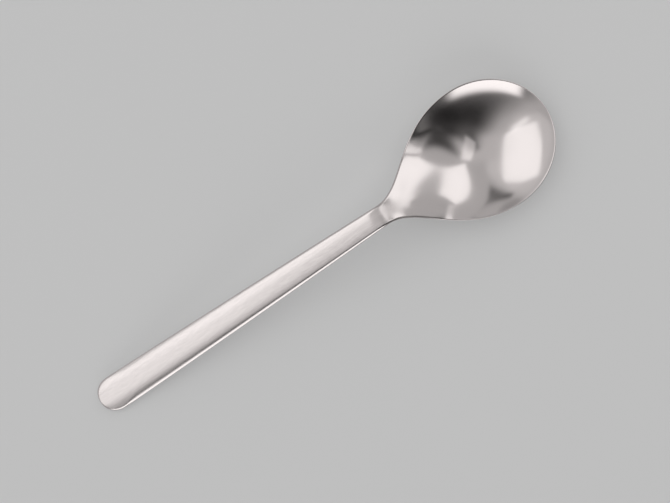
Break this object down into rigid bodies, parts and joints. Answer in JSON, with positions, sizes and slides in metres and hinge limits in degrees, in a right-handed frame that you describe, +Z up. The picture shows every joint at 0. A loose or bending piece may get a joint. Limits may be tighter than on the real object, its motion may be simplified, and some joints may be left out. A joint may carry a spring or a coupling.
{
  "type": "serving spoon",
  "caption": "Serving spoon with a deep egg-shaped bowl, a narrow neck and a long flat handle that widens to a rounded end, in satin stainless steel.",
  "frame": {"origin": "middle of the spoon's length and width, on the table that it lies on", "axes": "+X from the handle's end to the bowl's tip, +Y across the bowl, +Z up out of the open bowl"},
  "size_m": [0.235, 0.0582, 0.0258],
  "materials": {
    "satin_steel": "satin"
  },
  "bodies": {
    "root": {"handle": "satin_steel", "neck": "satin_steel", "bowl": "satin_steel"}
  },
  "joints": []
}
